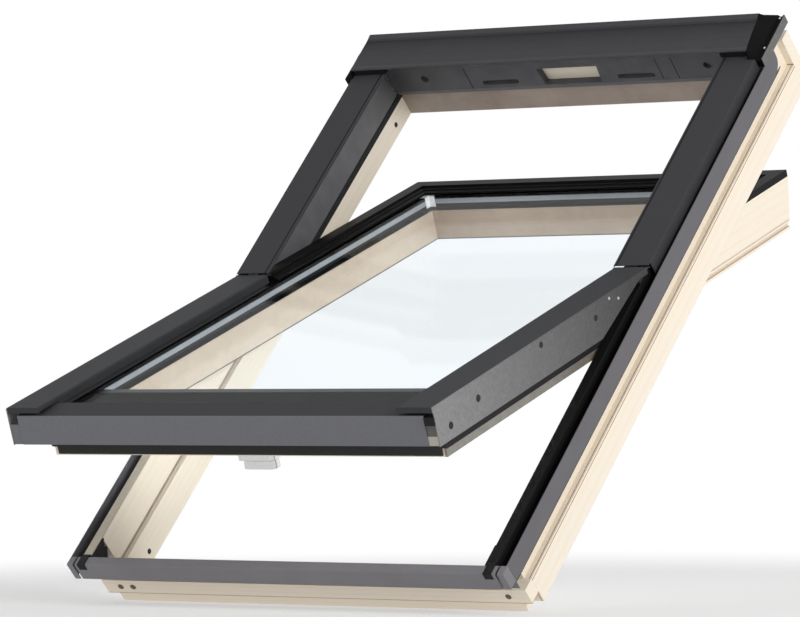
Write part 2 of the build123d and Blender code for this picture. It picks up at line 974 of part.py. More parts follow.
with BuildPart() as lock_bolt:
    with BuildSketch(across(sash, handle_offset - bolt_half)):
        box_outline((0.5 - case_front, bolt_top - bolt_thick), (bolt_back, bolt_top))
    extrude(amount=2 * bolt_half)
    with BuildSketch(facing(sash, bolt_top - bolt_thick - 1)):
        with Locations((handle_offset, spindle_s)):
            Circle(spindle_radius + spindle_gap)
        box_outline(
            (handle_offset - spindle_radius - spindle_gap, spindle_s),
            (handle_offset + spindle_radius + spindle_gap, bolt_back + 1),
        )
    extrude(amount=bolt_thick + 2, mode=Mode.SUBTRACT)
write(lock_bolt, "lock_bolt")

lever_long = 38
lever_short = 12
lever_width = 18
lever_thickness = 11
lever_gap = 1.5
lever_low = case_low - lever_gap - lever_thickness
with BuildPart() as handle:
    with BuildSketch(facing(sash, lever_low)):
        with Locations((handle_offset - (lever_long - lever_short) / 2, spindle_s)):
            RectangleRounded(lever_long + lever_short, lever_width, 7)
    extrude(amount=lever_thickness)
    with BuildSketch(facing(sash, lever_low + lever_thickness - 1)):
        with Locations((handle_offset, spindle_s)):
            Circle(spindle_radius)
    extrude(amount=bolt_top - lever_low - lever_thickness + 1)
write(handle, "handle")
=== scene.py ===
import math
import bpy
import bmesh
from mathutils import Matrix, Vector


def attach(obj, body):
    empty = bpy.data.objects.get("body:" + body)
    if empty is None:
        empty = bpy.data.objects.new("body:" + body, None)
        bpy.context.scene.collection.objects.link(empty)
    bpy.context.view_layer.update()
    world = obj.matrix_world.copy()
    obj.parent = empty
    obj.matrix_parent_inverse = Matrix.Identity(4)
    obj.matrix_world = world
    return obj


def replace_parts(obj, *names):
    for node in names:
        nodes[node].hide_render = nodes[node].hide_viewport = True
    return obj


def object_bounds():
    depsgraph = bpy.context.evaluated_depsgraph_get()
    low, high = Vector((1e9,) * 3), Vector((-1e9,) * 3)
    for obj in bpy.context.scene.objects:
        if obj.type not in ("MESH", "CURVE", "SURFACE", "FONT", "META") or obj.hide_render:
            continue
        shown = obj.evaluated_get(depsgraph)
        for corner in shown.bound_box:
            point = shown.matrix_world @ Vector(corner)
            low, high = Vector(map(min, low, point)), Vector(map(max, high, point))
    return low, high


print("loading the window")
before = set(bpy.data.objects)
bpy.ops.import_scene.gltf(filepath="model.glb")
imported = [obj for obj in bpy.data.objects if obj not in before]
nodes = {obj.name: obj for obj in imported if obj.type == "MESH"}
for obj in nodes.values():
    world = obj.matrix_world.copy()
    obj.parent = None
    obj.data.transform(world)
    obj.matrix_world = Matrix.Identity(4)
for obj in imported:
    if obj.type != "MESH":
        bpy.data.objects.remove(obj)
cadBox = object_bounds()

roofPitch = 45.0
sashOpening = 25.8
# these turns bring a piece's coordinates level with the window or the sash
roofTurn = -roofPitch
sashTurn = roofTurn + sashOpening


# material helpers

def newMaterial(name):
    material = bpy.data.materials.new(name)
    material.use_nodes = True
    tree = material.node_tree
    return material, tree, tree.nodes["Principled BSDF"]


def addNode(tree, kind, x, y, **values):
    node = tree.nodes.new(kind)
    node.location = (x, y)
    for key, value in values.items():
        setattr(node, key, value)
    return node


def mapped(tree, turn, stretch=(1, 1, 1), shift=(0, 0, 0), x=-1600):
    # object coordinates, turned level with the piece first and stretched after that
    place = addNode(tree, "ShaderNodeTexCoord", x, 0)
    level = addNode(tree, "ShaderNodeMapping", x + 180, 0)
    level.inputs["Rotation"].default_value = (math.radians(turn), 0, 0)
    scaled = addNode(tree, "ShaderNodeMapping", x + 360, 0)
    scaled.inputs["Location"].default_value = shift
    scaled.inputs["Scale"].default_value = stretch
    tree.links.new(place.outputs["Object"], level.inputs["Vector"])
    tree.links.new(level.outputs["Vector"], scaled.inputs["Vector"])
    return scaled.outputs["Vector"]


def noise(tree, vector, scale, detail, x, y, roughness=0.5):
    node = addNode(tree, "ShaderNodeTexNoise", x, y)
    node.inputs["Scale"].default_value = scale
    node.inputs["Detail"].default_value = detail
    node.inputs["Roughness"].default_value = roughness
    tree.links.new(vector, node.inputs["Vector"])
    return node.outputs["Fac"]


def ramp(tree, factor, stops, x, y):
    node = addNode(tree, "ShaderNodeValToRGB", x, y)
    while len(node.color_ramp.elements) < len(stops):
        node.color_ramp.elements.new(0.5)
    for element, (position, colour) in zip(node.color_ramp.elements, stops):
        element.position = position
        element.color = (*colour, 1)
    tree.links.new(factor, node.inputs["Fac"])
    return node.outputs["Color"]


def greyRamp(tree, factor, low, high, x, y):
    # low and high are each a position on the ramp and a grey
    return ramp(tree, factor, [(place, (grey,) * 3) for place, grey in (low, high)], x, y)


def mixColour(tree, factor, first, second, x, y, blend="MIX"):
    node = addNode(tree, "ShaderNodeMix", x, y, data_type="RGBA", blend_type=blend)
    for socket, value in ((node.inputs[0], factor), (node.inputs[6], first), (node.inputs[7], second)):
        if isinstance(value, (int, float)):
            socket.default_value = value
        elif isinstance(value, tuple):
            socket.default_value = (*value, 1)
        else:
            tree.links.new(value, socket)
    return node.outputs[2]


def spread(tree, factor, low, high, x, y):
    node = addNode(tree, "ShaderNodeMapRange", x, y)
    node.inputs["To Min"].default_value = low
    node.inputs["To Max"].default_value = high
    tree.links.new(factor, node.inputs["Value"])
    return node.outputs["Result"]


def bump(tree, height, strength, distance, x, y, normal=None):
    node = addNode(tree, "ShaderNodeBump", x, y)
    node.inputs["Strength"].default_value = strength
    node.inputs["Distance"].default_value = distance
    tree.links.new(height, node.inputs["Height"])
    if normal is not None:
        tree.links.new(normal, node.inputs["Normal"])
    return node.outputs["Normal"]


def tinted(colour, share):
    return tuple(min(1, channel * share) for channel in colour)


def softEdges(tree, radius, x, y):
    node = addNode(tree, "ShaderNodeBevel", x, y, samples=4)
    node.inputs["Radius"].default_value = radius
    return node.outputs["Normal"]


def masked(tree, first, second, x, y):
    both = addNode(tree, "ShaderNodeMath", x, y, operation="MULTIPLY")
    tree.links.new(first, both.inputs[0])
    tree.links.new(second, both.inputs[1])
    return both.outputs[0]


def zone(axis, start, end, dark, pale, grain=190, **more):
    return {"axis": axis, "from": start, "to": end, "dark": dark, "pale": pale, "grain": grain, **more}


facingLimit = 0.8  # how far a face may turn away from a zone's direction


def zoneMask(tree, area, parts, aside, low):
    value = aside if area["axis"] == "side" else parts.outputs[area["axis"]]
    within = addNode(tree, "ShaderNodeMath", -640, low, operation="COMPARE")
    within.inputs[1].default_value = (area["from"] + area["to"]) / 2
    within.inputs[2].default_value = (area["to"] - area["from"]) / 2
    tree.links.new(value, within.inputs[0])
    mask = within.outputs[0]
    if "outside" in area:
        # only past this distance from the window's middle
        past = addNode(tree, "ShaderNodeMath", -640, low + 60, operation="GREATER_THAN")
        past.inputs[1].default_value = area["outside"]
        tree.links.new(aside, past.inputs[0])
        mask = masked(tree, mask, past.outputs[0], -460, low + 60)
    if "facing" in area:
        # only the faces that look this way
        skin = addNode(tree, "ShaderNodeNewGeometry", -820, low + 160)
        lean = addNode(tree, "ShaderNodeVectorMath", -640, low + 160, operation="DOT_PRODUCT")
        lean.inputs[1].default_value = area["facing"]
        tree.links.new(skin.outputs["True Normal"], lean.inputs[0])
        toward = addNode(tree, "ShaderNodeMath", -460, low + 160, operation="GREATER_THAN")
        toward.inputs[1].default_value = facingLimit
        tree.links.new(lean.outputs["Value"], toward.inputs[0])
        mask = masked(tree, mask, toward.outputs[0], -300, low + 160)
    return mask


def zoneColour(tree, area, vector, parts, low):
    mottle = noise(tree, vector, area["grain"], 4, -820, low + 100, 0.7)
    areaColour = ramp(tree, mottle, ((0.3, area["dark"]), (0.72, area["pale"])), -560, low + 100)
    if "fade" in area:
        # the zone's colour dims between two distances along the piece
        start, end, last = area["fade"]
        reach = addNode(tree, "ShaderNodeMapRange", -640, low - 60)
        reach.inputs["From Min"].default_value = start
        reach.inputs["From Max"].default_value = end
        tree.links.new(parts.outputs["Y"], reach.inputs["Value"])
        dim = greyRamp(tree, reach.outputs["Result"], (0, 1), (1, last), -400, low - 60)
        areaColour = mixColour(tree, 1.0, areaColour, dim, -260, low, "MULTIPLY")
    return areaColour


def zoned(tree, vector, base, zones):
    # each zone is a colour of its own between two distances along one axis of the piece; some are marks
    # the piece really has, others are painted light and shade
    parts = addNode(tree, "ShaderNodeSeparateXYZ", -1000, 900)
    tree.links.new(vector, parts.inputs[0])
    aside = addNode(tree, "ShaderNodeMath", -820, 900, operation="ABSOLUTE")
    tree.links.new(parts.outputs["X"], aside.inputs[0])
    for count, area in enumerate(zones):
        low = 1000 + 300 * count
        mask = zoneMask(tree, area, parts, aside.outputs[0], low)
        areaColour = zoneColour(tree, area, vector, parts, low)
        base = mixColour(tree, mask, base, areaColour, -100, low)
    return base


def shaded(tree, body, reach, deep, x, y):
    # painted shade: an ambient occlusion node makes the wood a little darker in corners and hollows,
    # where shade falls
    hollowShade = addNode(tree, "ShaderNodeAmbientOcclusion", x, y, samples=8)
    hollowShade.inputs["Distance"].default_value = reach
    tone = ramp(tree, hollowShade.outputs["AO"], ((0.25, deep), (0.85, (1, 1, 1))), x + 200, y)
    return mixColour(tree, 1.0, body, tone, x + 400, y, "MULTIPLY")


def paint(names, material):
    for name in names:
        data = nodes[name].data
        data.materials.clear()
        data.materials.append(material)


# pine

pineLook = {
    "pale": (0.87, 0.785, 0.665),
    "dark": (0.79, 0.675, 0.525),
    "ring": {"gap": 0.0068, "waver": 1.6, "bend": 0.02, "bendScale": 9},
    "grainStretch": 0.045,
    "fibre": {"scale": 900, "depth": 0.05},
    "cloudScale": 26,
    "roughness": (0.36, 0.50),
    # how far the painted shade in corners and hollows reaches, and its darkest colour
    "hollowShade": {"reach": 0.12, "deep": (0.68, 0.60, 0.52)},
}


def pine(name, turn, grain, shift, zones=(), paintHollowShade=False):
    material, tree, shader = newMaterial(name)
    ring, fibre = pineLook["ring"], pineLook["fibre"]
    long = pineLook["grainStretch"]
    stretch = (long, 1, 1) if grain == "X" else (1, long, 1)
    vector = mapped(tree, turn, stretch, shift)
    warp = addNode(tree, "ShaderNodeTexNoise", -1000, 300)
    warp.inputs["Scale"].default_value = ring["bendScale"]
    warp.inputs["Detail"].default_value = 2
    tree.links.new(vector, warp.inputs["Vector"])
    bend = addNode(tree, "ShaderNodeVectorMath", -820, 300, operation="MULTIPLY_ADD")
    bend.inputs[1].default_value = (ring["bend"],) * 3
    tree.links.new(warp.outputs["Color"], bend.inputs[0])
    tree.links.new(vector, bend.inputs[2])
    rings = addNode(tree, "ShaderNodeTexWave", -640, 300, wave_type="RINGS", wave_profile="SAW",
                    rings_direction=grain)
    rings.inputs["Scale"].default_value = 2 * math.pi / 20 / ring["gap"]
    rings.inputs["Distortion"].default_value = ring["waver"]
    rings.inputs["Detail"].default_value = 2
    rings.inputs["Detail Scale"].default_value = 1.4
    tree.links.new(bend.outputs["Vector"], rings.inputs["Vector"])
    # each ring darkens slowly and ends in a sharp late line
    lateStops = ((0.0, (0, 0, 0)), (0.62, (0.08,) * 3), (0.93, (0.5,) * 3), (1.0, (0, 0, 0)))
    late = ramp(tree, rings.outputs["Fac"], lateStops, -440, 300)
    fibres = noise(tree, vector, fibre["scale"], 4, -820, -100, 0.6)
    broad = noise(tree, vector, pineLook["cloudScale"], 2, -820, -320)
    strong = greyRamp(tree, broad, (0.3, 0.35), (0.7, 1), -440, -60)
    lateAmount = mixColour(tree, 1.0, late, strong, -180, 200, "MULTIPLY")
    body = mixColour(tree, lateAmount, pineLook["pale"], pineLook["dark"], 20, 240)
    fibreTint = greyRamp(tree, fibres, (0.25, 1 - fibre["depth"]), (0.62, 1), -440, -300)
    body = mixColour(tree, 1.0, body, fibreTint, 200, 200, "MULTIPLY")
    tint = ramp(tree, broad, ((0.3, (1.0, 0.98, 0.95)), (0.7, (1, 1, 1))), -180, -360)
    body = mixColour(tree, 1.0, body, tint, 380, 160, "MULTIPLY")
    if zones:
        body = zoned(tree, mapped(tree, turn, x=-2200), body, zones)
    # painted shade darkens the wood in its corners and hollows
    if paintHollowShade:
        body = shaded(tree, body, **pineLook["hollowShade"], x=560, y=160)
    tree.links.new(body, shader.inputs["Base Color"])
    low, high = pineLook["roughness"]
    tree.links.new(spread(tree, fibres, low, high, 20, -120), shader.inputs["Roughness"])
    normal = bump(tree, fibres, 0.12, 0.0004, 20, -400, softEdges(tree, 0.0007, -180, -560))
    tree.links.new(normal, shader.inputs["Normal"])
    shader.inputs["Specular IOR Level"].default_value = 0.42
    return material


print("pine")
pinePieces = {
    "frame_jamb_right": (roofTurn, "Y", (0.05, 0.0, 0.31)),
    "frame_jamb_left": (roofTurn, "Y", (0.62, 0.7, -0.22)),
    "frame_head": (roofTurn, "X", (1.3, -0.37, 0.16)),
    "frame_sill": (roofTurn, "X", (2.1, 0.58, 0.19)),
    "sash_stile_right": (sashTurn, "Y", (0.08, 1.9, 0.25)),
    "sash_stile_left": (sashTurn, "Y", (0.55, 2.6, -0.18)),
    "sash_top_rail": (sashTurn, "X", (3.4, -0.21, 0.27)),
    "sash_bottom_rail": (sashTurn, "X", (4.2, 0.66, -0.24)),
}
downRoof = (0, -0.7071, -0.7071)
downSash = (0, -0.9444, -0.3289)
# two fine lines run along each jamb's outer corner, and one along the sill's groove
brownLine = {"dark": (0.30, 0.18, 0.11), "pale": (0.42, 0.27, 0.17), "grain": 500}
jambLines = [zone("side", 0.3264, 0.3276, **brownLine),
             zone("Z", -0.0637, -0.0624, outside=0.3285, **brownLine)]
# painted shade: the jambs' inner groove is painted a darker brown, where its shadow falls
groove = zone("Z", -0.0575, -0.0475, (0.33, 0.265, 0.205), (0.41, 0.335, 0.265), grain=60)
inwardEdge = zone("Z", -0.0685, -0.0664, (0.09, 0.085, 0.08), (0.13, 0.12, 0.11))
pineZones = {
    "frame_jamb_right": [*jambLines, {**groove, "facing": (-1.2, 0, 0)}],
    "frame_jamb_left": [*jambLines, {**groove, "facing": (1.2, 0, 0)}],
    "frame_sill": [zone("Z", -0.0846, -0.0832, **brownLine)],
    # painted shade: the head's downward face is painted a darker brown, where the sash and hood shade it
    "frame_head": [zone("Z", -0.20, -0.058, (0.30, 0.24, 0.195), (0.45, 0.37, 0.305), grain=9,
                        facing=downRoof)],
    # painted shade: the top rail's downward inner face is painted darker, as if in shade
    "sash_top_rail": [zone("side", 0, 0.33, (0.50, 0.385, 0.29), (0.60, 0.47, 0.36), grain=60,
                           facing=downSash),
                      {**inwardEdge, "facing": downSash}],
    # painted shade: the left stile's inner face, turned towards the key lamp, is painted darker as if
    # shaded
    "sash_stile_left": [zone("side", 0, 0.33, (0.68, 0.565, 0.45), (0.76, 0.64, 0.51), grain=60,
                             facing=(1, 0, 0)),
                        {**inwardEdge, "facing": (1, 0, 0)}],
    # painted shade: the lower part of the right stile's outer face is painted a dark grey, where the
    # flange shades it
    "sash_stile_right": [zone("Y", -0.53, -0.02, (0.20, 0.19, 0.17), (0.27, 0.26, 0.235), grain=60,
                              outside=0.2985)],
}
for name, (turn, grain, shift) in pinePieces.items():
    title = "".join(part.capitalize() for part in name.split("_"))
    zones = pineZones.get(name, ())
    paint([name], pine("pine" + title, turn, grain, shift, zones, paintHollowShade=name.startswith("sash")))


# painted sheet

sheetLook = {"grainScale": 1500, "flecks": (0.95, 1.05), "cloudScale": 22, "clouds": (0.96, 1.04)}


def sheetPaint(name, colour, turn=roofTurn, roughness=(0.58, 0.68), zones=(), gloss=0.12):
    material, tree, shader = newMaterial(name)
    vector = mapped(tree, turn)
    grains = noise(tree, vector, sheetLook["grainScale"], 2, -1000, 0)
    cloud = noise(tree, vector, sheetLook["cloudScale"], 3, -1000, -240)
    (dimFleck, paleFleck), (dimCloud, paleCloud) = sheetLook["flecks"], sheetLook["clouds"]
    flecks = greyRamp(tree, grains, (0.3, dimFleck), (0.7, paleFleck), -760, 0)
    soft = greyRamp(tree, cloud, (0.3, dimCloud), (0.7, paleCloud), -760, -240)
    body = mixColour(tree, 1.0, colour, flecks, -120, 100, "MULTIPLY")
    body = mixColour(tree, 1.0, body, soft, 60, 60, "MULTIPLY")
    if zones:
        body = zoned(tree, vector, body, zones)
    tree.links.new(body, shader.inputs["Base Color"])
    tree.links.new(spread(tree, cloud, *roughness, -300, -240), shader.inputs["Roughness"])
    normal = bump(tree, grains, 0.10, 0.0002, -300, -480, softEdges(tree, 0.0004, -520, -560))
    tree.links.new(normal, shader.inputs["Normal"])
    shader.inputs["Specular IOR Level"].default_value = gloss
    return material


print("painted metal")
coverGrey = (0.045, 0.045, 0.0498)
sashCoverGrey = (0.036, 0.037, 0.041)
# near black used as painted shade
paintedShadeBlack = {"dark": (0.007, 0.007, 0.0075), "pale": (0.010, 0.010, 0.0105)}
# painted shade: a near-black strip along each upper cover's inner edge stands in for the shadow gap
# beside the profile
coverZones = [zone("side", 0.2782, 0.2810, (0.006, 0.006, 0.0065), (0.009, 0.009, 0.0095))]
flangeZones = [zone("side", 0.3262, 0.40, (0.19, 0.19, 0.19), (0.25, 0.25, 0.248),
                    fade=(-0.50, -0.05, 0.26))]
frontZones = [zone("Y", -0.60, -0.5248, (0.138, 0.140, 0.152), (0.155, 0.157, 0.170))]
# painted shade: the inside of each gutter is painted near black; the neck flanges are painted as a
# reflection, near black on the right and cream grey on the left where they mirror the lit wood
gutterZones = [zone("side", 0.3195, 0.3345, **paintedShadeBlack),
               zone("X", 0.30, 0.3196, **paintedShadeBlack),
               zone("X", -0.3196, -0.30, (0.44, 0.40, 0.33), (0.52, 0.475, 0.40))]
blockZones = [zone("Z", -0.0245, 0.01, (0.085, 0.083, 0.077), (0.115, 0.112, 0.105))]
paint(["upper_cover_right", "upper_cover_left"], sheetPaint("coverPaint", coverGrey, zones=coverZones))
paint(["lower_cover_right", "lower_cover_left"],
      sheetPaint("lowerCoverPaint", sashCoverGrey, sashTurn, zones=flangeZones))
paint(["bottom_cover"],
      sheetPaint("bottomCoverPaint", (0.036, 0.036, 0.040), sashTurn, zones=frontZones))
paint(["sill_cladding"], sheetPaint("sillCladdingPaint", (0.200, 0.195, 0.207)))
paint(["gutter_right", "gutter_left"],
      sheetPaint("gutterPaint", (0.135, 0.131, 0.141), zones=gutterZones))
paint(["side_profile_right", "side_profile_left", "top_profile"],
      sheetPaint("blackExtrusion", (0.0055, 0.0055, 0.0057), sashTurn, (0.48, 0.56), gloss=0.1))
paint(["drip_rail"], sheetPaint("dripPaint", (0.033, 0.033, 0.032), sashTurn, gloss=0.1))
paint(["end_block_left"], sheetPaint("endPaint", (0.146, 0.148, 0.161), sashTurn))
paint(["end_block_right"], sheetPaint("endBlockCream", (0.40, 0.375, 0.33), sashTurn, zones=blockZones))
paint(["sill_screws"], sheetPaint("sillScrewBrown", (0.14, 0.115, 0.095), roughness=(0.4, 0.5)))


# mouldings and rubber

def moulding(name, colour, roughness, grain=900, depth=0.12, gloss=0.35):
    material, tree, shader = newMaterial(name)
    vector = mapped(tree, roofTurn, shift=(0.3, 0.1, 0))
    grains = noise(tree, vector, grain, 3, -1000, 0)
    cloud = noise(tree, vector, 35, 2, -1000, -240)
    tint = ramp(tree, cloud, ((0.3, tinted(colour, 0.88)), (0.7, tinted(colour, 1.12))), -700, 0)
    tree.links.new(tint, shader.inputs["Base Color"])
    matt = spread(tree, grains, roughness - 0.06, roughness + 0.06, -700, -240)
    tree.links.new(matt, shader.inputs["Roughness"])
    normal = bump(tree, grains, depth, 0.0003, -500, -420, softEdges(tree, 0.0005, -700, -560))
    tree.links.new(normal, shader.inputs["Normal"])
    shader.inputs["Specular IOR Level"].default_value = gloss
    return material


print("mouldings")
paint(["frame_clips_right", "frame_clips_left", "sash_clips_right", "sash_clips_left"],
      moulding("blackMoulding", (0.014, 0.014, 0.015), 0.55, gloss=0.25))
paint(["head_vent_bar"], moulding("ventBarGrey", (0.100, 0.098, 0.104), 0.55, gloss=0.2))
paint(["inner_profile_right", "inner_profile_left"],
      moulding("innerProfileGrey", (0.105, 0.105, 0.11), 0.5))
paint(["frame_gasket_right", "frame_gasket_left", "sash_gasket", "glazing_seal_right",
       "glazing_seal_left"],
      moulding("blackRubber", (0.013, 0.013, 0.014), 0.72, grain=1400, depth=0.2, gloss=0.25))
paint(["edge_seal", "glazing_bed"],
      moulding("edgeSealant", (0.004, 0.004, 0.004), 0.8, grain=500, depth=0.02, gloss=0.02))


# bright metal

def brightMetal(name, colour, roughness, strength):
    material, tree, shader = newMaterial(name)
    vector = mapped(tree, sashTurn)
    lines = noise(tree, vector, 420, 4, -1000, 0, 0.6)
    shade = ramp(tree, lines, ((0.25, tinted(colour, 0.88)), (0.75, tinted(colour, 1.08))), -700, 0)
    tree.links.new(shade, shader.inputs["Base Color"])
    polish = spread(tree, lines, roughness * 0.8, roughness * 1.25, -700, -240)
    tree.links.new(polish, shader.inputs["Roughness"])
    normal = bump(tree, lines, strength, 0.0002, -500, -420, softEdges(tree, 0.0004, -700, -560))
    tree.links.new(normal, shader.inputs["Normal"])
    shader.inputs["Metallic"].default_value = 1
    return material


print("bright metal")
# black sealing bands run along the spacer's two edges, and a bright key sits in each upper corner
spacerZones = [zone("Z", -0.0210, -0.0155, (0.002, 0.002, 0.002), (0.003, 0.003, 0.003)),
               zone("Z", -0.0085, -0.0030, (0.003, 0.003, 0.003), (0.004, 0.004, 0.004)),
               zone("Y", 0.386, 0.400, (0.80, 0.80, 0.80), (0.9, 0.9, 0.9), outside=0.2575)]
paint(["spacer"], sheetPaint("spacerStrip", (0.29, 0.31, 0.33), sashTurn, (0.3, 0.4), spacerZones))
zincPlate = brightMetal("zincPlate", (0.55, 0.55, 0.56), 0.34, 0.12)
paint(["hood_brackets", "pivot_housing_right", "pivot_housing_left", "pivot_arm_right", "pivot_arm_left",
       "lock_keep", "lock_bolt"], zincPlate)
paint(["handle", "lock_case"], brightMetal("chromePlate", (0.80, 0.80, 0.81), 0.10, 0.02))


# new pieces, drawn in millimetres in the window's or the sash's own directions

def toRoof(x, y, z):
    pitch = math.radians(roofPitch)
    up, out = math.sin(pitch), math.cos(pitch)
    return Vector((x, y * out - z * up, y * up + z * out)) / 1000


def toSash(x, s, t):
    turn = math.radians(sashOpening)
    return toRoof(x, s * math.cos(turn) + t * math.sin(turn), -s * math.sin(turn) + t * math.cos(turn))


sharpTurn = 0.5  # edges that turn by more than this, in radians, are softened


def lofted(name, chains, place, material, body, soften=0.3):
    # each chain starts as one face, which is extruded to its next row of corners until the last
    shape = bmesh.new()
    for first, *following in chains:
        cap = shape.faces.new([shape.verts.new(place(*corner)) for corner in first])
        passed = []
        for row in following:
            grown = bmesh.ops.extrude_face_region(shape, geom=[cap])["geom"]
            passed.append(cap)
            cap = next(item for item in grown if isinstance(item, bmesh.types.BMFace))
            for vert, corner in zip(cap.verts, row):
                vert.co = place(*corner)
        bmesh.ops.delete(shape, geom=passed[1:], context="FACES_ONLY")
    bmesh.ops.recalc_face_normals(shape, faces=shape.faces)
    if soften:
        sharp = [edge for edge in shape.edges if edge.calc_face_angle(0) > sharpTurn]
        bmesh.ops.bevel(shape, geom=sharp, offset=soften / 1000, offset_type="OFFSET", segments=2,
                        profile=0.5, affect="EDGES", clamp_overlap=True, material=-1)
    mesh = bpy.data.meshes.new(name)
    shape.to_mesh(mesh)
    shape.free()
    mesh.materials.append(material)
    piece = bpy.data.objects.new(name, mesh)
    bpy.context.scene.collection.objects.link(piece)
    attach(piece, body)
    return piece


def bar(section, ends, side=1):
    # a section seen from the side, run between two distances across
    return [[(side * x, *corner) for corner in section] for x in ends]


def disc(across, along, radius, corners=16):
    turns = [2 * math.pi * step / corners for step in range(corners)]
    return [(across + radius * math.cos(turn), along + radius * math.sin(turn)) for turn in turns]


print("hood")
hoodLook = {
    "bead": (408.0, 23.6), "beadRadius": 2.6, "crease": (474.5, 17.4), "back": (488.45, 18.0),
    "drop": -15.0, "sheet": 1.1, "leftEnds": (-325.5, -335.5), "rightEnds": (316.0, 300.0),
}
beadY, beadZ = hoodLook["bead"]
creaseY, creaseZ = hoodLook["crease"]
backY, backZ = hoodLook["back"]
half = hoodLook["sheet"] / 2


def hoodEnds(y):
    share = (y - beadY) / (backY - beadY)
    sides = hoodLook["leftEnds"], hoodLook["rightEnds"]
    return [front + (back - front) * share for front, back in sides]


face = [(beadY + 2, beadZ + 1.9), (beadY + 5, beadZ + 1.4), (beadY + 30, beadZ - 0.6),
        (creaseY - 3, creaseZ - 0.3), (creaseY, creaseZ - 1), (creaseY + 1.5, creaseZ + 0.4)]
rear = [(creaseY + 3, backZ + half), (backY - 1.5, backZ + half), (backY + half, backZ - 0.9),
        (backY + half, hoodLook["drop"]), (backY - half, hoodLook["drop"]), (backY - half, backZ - 1.6),
        (backY - 2.2, backZ - half), (creaseY + 3, backZ - half)]
under = [(creaseY + 1.5, creaseZ - 0.7), (creaseY, creaseZ - 2.1), (creaseY - 3, creaseZ - 1.4),
         (beadY + 30, beadZ - 1.7), (beadY + 5, beadZ + 0.3)]
beadTurns = [math.radians(step) for step in range(345, 55, -24)]
beadRadius = hoodLook["beadRadius"]
bead = [(beadY + beadRadius * math.cos(turn), beadZ + beadRadius * math.sin(turn)) for turn in beadTurns]
hoodSection = face + rear + under + bead
hoodRows = [[(hoodEnds(y)[end], y, z) for y, z in hoodSection] for end in (0, 1)]
# painted light on one grey sheet: the bead is painted lighter as a highlight, the face is painted darker
# towards the crease as shade, and the rear strip a little lighter where light falls on it
hoodZones = [zone("Y", 0.40, 0.4112, (0.060, 0.059, 0.064), (0.068, 0.067, 0.072)),
             zone("Y", 0.4112, 0.4742, (0.050, 0.050, 0.055), (0.055, 0.055, 0.061),
                  fade=(0.425, 0.474, 0.42)),
             zone("Y", 0.4772, 0.60, (0.052, 0.052, 0.056), (0.058, 0.058, 0.062))]
hoodPaint = sheetPaint("hoodPaint", coverGrey, zones=hoodZones)
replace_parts(lofted("hoodSheet", [hoodRows], toRoof, hoodPaint, "frame", soften=0), "hood")

print("hood ends")
capLook = {
    "inner": 328.3, "outer": 338.6, "foot": 13.1, "lip": 13.6, "seat": 13.8, "gap": 0.4,
    "shoulder": {"below": 3, "width": 6, "low": 13.7, "high": 20},
    "groove": ((336.4, 13.6), (335.2, 10.8), (330.8, 10.8), (329.0, 13.6)),
    "rows": ((399.4, 13.8), (405.8, beadZ + 0.8), (440.0, beadZ - 2), (creaseY, creaseZ + 0.8),
             (487.5, backZ + 0.5)),
}
capZones = [zone("side", 0.3383, 0.345, (0.12, 0.12, 0.118), (0.17, 0.17, 0.165))]
capBlack = sheetPaint("capBlack", (0.0035, 0.0035, 0.0037), zones=capZones, gloss=0.06)


def capSection(side, y, top):
    edge = abs(hoodEnds(max(y, beadY))[0 if side < 0 else 1]) + capLook["gap"]
    if side < 0:
        crown = [(edge, top)]
    else:
        # the right cap has a groove for its screws and a shoulder beside the hood
        fold = capLook["shoulder"]
        rise = max(min(top - fold["below"], fold["high"]), fold["low"])
        crown = [*capLook["groove"], (edge + fold["width"], rise), (edge, max(top, capLook["seat"]))]
    corners = [(capLook["inner"], 0), (capLook["outer"], 0), (capLook["outer"], capLook["lip"]), *crown,
               (edge, capLook["foot"]), (capLook["inner"], capLook["foot"])]
    return [(side * x, y, z) for x, z in corners]


for side, hand in ((1, "Right"), (-1, "Left")):
    capRows = [capSection(side, y, top) for y, top in capLook["rows"]]
    cap = lofted("hoodCap" + hand, [capRows], toRoof, capBlack, "frame", soften=0.25)
    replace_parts(cap, "hood_end_" + hand.lower())

print("hood strip")
# painted shade: a black strip fills the gap under the hood's front edge, standing in for the shadow
# there
stripLook = {
    "section": ((406.5, 13.1), (411.5, 13.1), (411.5, 22.6), (406.5, 21.4)),
    "ends": ((-324.0, -273.0), (273.0, 313.0)),
}
stripBlack = moulding("hoodGapShadeBlack", (0.009, 0.009, 0.0095), 0.8, grain=1400, depth=0.2, gloss=0.1)
stripBars = [bar(stripLook["section"], ends) for ends in stripLook["ends"]]
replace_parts(lofted("hoodGapShadeStrip", stripBars, toRoof, stripBlack, "frame", soften=0), "hood_strip")

print("screw heads")
darkScrew = sheetPaint("darkScrew", (0.020, 0.020, 0.022), roughness=(0.4, 0.5))
screwLook = {
    "cap": {"across": 333.0, "rows": (423.0, 482.0), "levels": ((10.9, 2.0), (12.6, 1.7))},
    "flange": {
        "levels": ((327.8, 1), (328.7, 0.82)),
        "screws": ((-495.0, -21.0, 5.0), (-428.0, -10.5, 5.0), (-273.0, 3.6, 4.4), (-141.0, -7.0, 4.4)),
        "rivets": ((-103.0, 6.0, 2.2), (-82.0, -1.0, 2.2)),
    },
    "jamb": {
        "levels": ((306.2, 1), (305.4, 0.85)),
        "screws": ((-413.0, -86.5, 4.0), (411.0, -86.5, 4.0)),
    },
}


def sideHeads(places, levels):
    # low round heads on both sides, each given by its row, rise and radius
    return [[[(side * x, *corner) for corner in disc(row, rise, radius * share)] for x, share in levels]
            for side in (-1, 1) for row, rise, radius in places]


